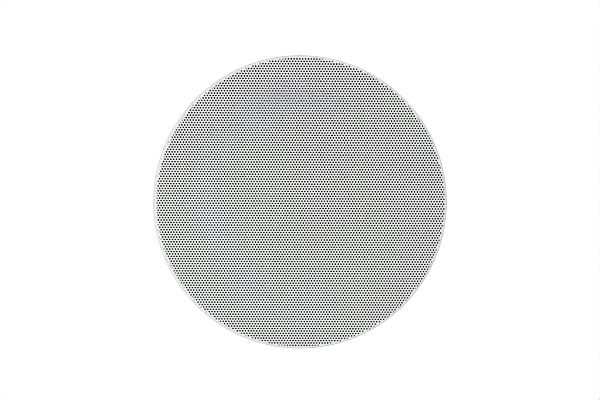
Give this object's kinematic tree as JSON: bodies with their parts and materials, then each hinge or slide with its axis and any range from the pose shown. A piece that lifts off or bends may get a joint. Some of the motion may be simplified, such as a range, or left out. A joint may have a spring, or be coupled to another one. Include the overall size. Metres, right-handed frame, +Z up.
{
  "type": "in-ceiling speaker",
  "caption": "Round flush-mount ceiling loudspeaker with a white perforated grille, a woofer, an aimable tweeter, a crossover and swing-out clamps.",
  "frame": {"origin": "on the speaker's axis, in the plane where the foam gasket meets the ceiling board", "axes": "+Z up into the ceiling void, along the speaker's axis; the grille faces -Z; +X towards the terminals"},
  "size_m": [0.261, 0.261, 0.0985],
  "materials": {
    "grille_paint": "satin white powder coat",
    "scrim_cloth": "black knitted cloth",
    "frame_plastic": "white, with a fine moulded grain",
    "gasket_foam": "closed-cell foam",
    "magnet_nickel": "nickel plate",
    "clamp_nylon": "natural nylon",
    "plated_steel": "zinc plate",
    "basket_polymer": "glass-filled moulding",
    "surround_rubber": "soft matt rubber",
    "cone_polymer": "mica-filled sheet",
    "former_foil": "rolled foil",
    "coil_copper": "enamelled copper wire",
    "spider_cloth": "resin-dipped weave",
    "motor_steel": "zinc plate",
    "ferrite": "ground ceramic",
    "bridge_plastic": "fine moulded grain",
    "dome_silk": "coated silk",
    "bracket_steel": "black coat",
    "board_fibre": "solder mask",
    "bobbin_plastic": "moulded",
    "capacitor_film": "wrapped film",
    "resistor_ceramic": "cement",
    "terminal_plastic": "moulded",
    "button_red": "moulded",
    "button_black": "moulded"
  },
  "bodies": {
    "chassis": {"frame": "frame_plastic", "safety_tab": "plated_steel", "ceiling_gasket": "gasket_foam", "grille_magnets": "magnet_nickel", "woofer_basket": "basket_polymer", "woofer_ring": "basket_polymer", "woofer_screws": "plated_steel", "woofer_surround": "surround_rubber", "spider": "spider_cloth", "top_plate": "motor_steel", "ferrite_magnet": "ferrite", "pole_yoke": "motor_steel", "tweeter_bridge": "bridge_plastic", "bridge_screws": "plated_steel", "level_switch_body": "terminal_plastic", "crossover_bracket": "bracket_steel", "bracket_screws": "plated_steel", "crossover_board": "board_fibre", "board_screws": "plated_steel", "inductor_bobbin": "bobbin_plastic", "inductor_winding": "coil_copper", "large_capacitor": "capacitor_film", "small_capacitor": "capacitor_film", "resistor": "resistor_ceramic", "terminal_block": "terminal_plastic"},
    "grille_cap": {"grille": "grille_paint", "grille_scrim": "scrim_cloth"},
    "cone": {"woofer_cone": "cone_polymer", "dust_cap": "cone_polymer", "voice_coil_former": "former_foil", "voice_coil_winding": "coil_copper"},
    "carrier": {"tweeter_carrier": "bridge_plastic"},
    "tweeter": {"tweeter_capsule": "bridge_plastic", "tweeter_dome": "dome_silk", "tweeter_motor": "motor_steel"},
    "button_red": {"terminal_button_red": "button_red"},
    "button_black": {"terminal_button_black": "button_black"},
    "level_knob": {"level_switch_knob": "button_black"},
    "screw_1": {"clamp_screw_1": "plated_steel"},
    "nut_1": {"clamp_nut_1": "plated_steel"},
    "leg_1": {"clamp_leg_1": "clamp_nylon"},
    "screw_2": {"clamp_screw_2": "plated_steel"},
    "nut_2": {"clamp_nut_2": "plated_steel"},
    "leg_2": {"clamp_leg_2": "clamp_nylon"},
    "screw_3": {"clamp_screw_3": "plated_steel"},
    "nut_3": {"clamp_nut_3": "plated_steel"},
    "leg_3": {"clamp_leg_3": "clamp_nylon"},
    "screw_4": {"clamp_screw_4": "plated_steel"},
    "nut_4": {"clamp_nut_4": "plated_steel"},
    "leg_4": {"clamp_leg_4": "clamp_nylon"}
  },
  "joints": [
    {"name": "grille_pull", "type": "slide", "parent": "chassis", "child": "grille_cap", "axis": [0, 0, -1], "range_m": [0, 0.03]},
    {"name": "cone_excursion", "type": "slide", "parent": "chassis", "child": "cone", "axis": [0, 0, 1], "range_m": [-0.004, 0.004], "stiffness_N_per_m": 1500, "deforming": ["woofer_surround", "spider"]},
    {"name": "tweeter_swivel", "type": "hinge", "parent": "chassis", "child": "carrier", "pos_m": [0, 0, 0.008], "axis": [0, 0, 1], "range_deg": [-90, 90]},
    {"name": "tweeter_tilt", "type": "hinge", "parent": "carrier", "child": "tweeter", "pos_m": [0, 0, 0.008], "axis": [1, 0, 0], "range_deg": [-15, 15]},
    {"name": "button_red_press", "type": "slide", "parent": "chassis", "child": "button_red", "axis": [-1, 0, 0], "range_m": [0, 0.0025], "stiffness_N_per_m": 800},
    {"name": "button_black_press", "type": "slide", "parent": "chassis", "child": "button_black", "axis": [-1, 0, 0], "range_m": [0, 0.0025], "stiffness_N_per_m": 800},
    {"name": "level_slide", "type": "slide", "parent": "chassis", "child": "level_knob", "axis": [1, 0, 0], "range_m": [-0.002, 0.002]},
    {"name": "clamp_1_screw", "type": "hinge", "parent": "chassis", "child": "screw_1", "pos_m": [0.07587, 0.07587, 0.02], "axis": [0, 0, 1], "range_deg": [0, 5184]},
    {"name": "clamp_1_travel", "type": "slide", "parent": "chassis", "child": "nut_1", "axis": [0, 0, -1], "range_m": [0, 0.018]},
    {"name": "clamp_1_swing", "type": "hinge", "parent": "nut_1", "child": "leg_1", "pos_m": [0.07587, 0.07587, 0.02], "axis": [0, 0, -1], "range_deg": [0, 90]},
    {"name": "clamp_2_screw", "type": "hinge", "parent": "chassis", "child": "screw_2", "pos_m": [-0.07587, 0.07587, 0.02], "axis": [0, 0, 1], "range_deg": [0, 5184]},
    {"name": "clamp_2_travel", "type": "slide", "parent": "chassis", "child": "nut_2", "axis": [0, 0, -1], "range_m": [0, 0.018]},
    {"name": "clamp_2_swing", "type": "hinge", "parent": "nut_2", "child": "leg_2", "pos_m": [-0.07587, 0.07587, 0.02], "axis": [0, 0, -1], "range_deg": [0, 90]},
    {"name": "clamp_3_screw", "type": "hinge", "parent": "chassis", "child": "screw_3", "pos_m": [-0.07587, -0.07587, 0.02], "axis": [0, 0, 1], "range_deg": [0, 5184]},
    {"name": "clamp_3_travel", "type": "slide", "parent": "chassis", "child": "nut_3", "axis": [0, 0, -1], "range_m": [0, 0.018]},
    {"name": "clamp_3_swing", "type": "hinge", "parent": "nut_3", "child": "leg_3", "pos_m": [-0.07587, -0.07587, 0.02], "axis": [0, 0, -1], "range_deg": [0, 90]},
    {"name": "clamp_4_screw", "type": "hinge", "parent": "chassis", "child": "screw_4", "pos_m": [0.07587, -0.07587, 0.02], "axis": [0, 0, 1], "range_deg": [0, 5184]},
    {"name": "clamp_4_travel", "type": "slide", "parent": "chassis", "child": "nut_4", "axis": [0, 0, -1], "range_m": [0, 0.018]},
    {"name": "clamp_4_swing", "type": "hinge", "parent": "nut_4", "child": "leg_4", "pos_m": [0.07587, -0.07587, 0.02], "axis": [0, 0, -1], "range_deg": [0, 90]}
  ],
  "couplings": [
    {"joint": "clamp_1_screw", "follows": "clamp_1_travel", "rad_per_m": 5026.5},
    {"joint": "clamp_2_screw", "follows": "clamp_2_travel", "rad_per_m": 5026.5},
    {"joint": "clamp_3_screw", "follows": "clamp_3_travel", "rad_per_m": 5026.5},
    {"joint": "clamp_4_screw", "follows": "clamp_4_travel", "rad_per_m": 5026.5}
  ]
}
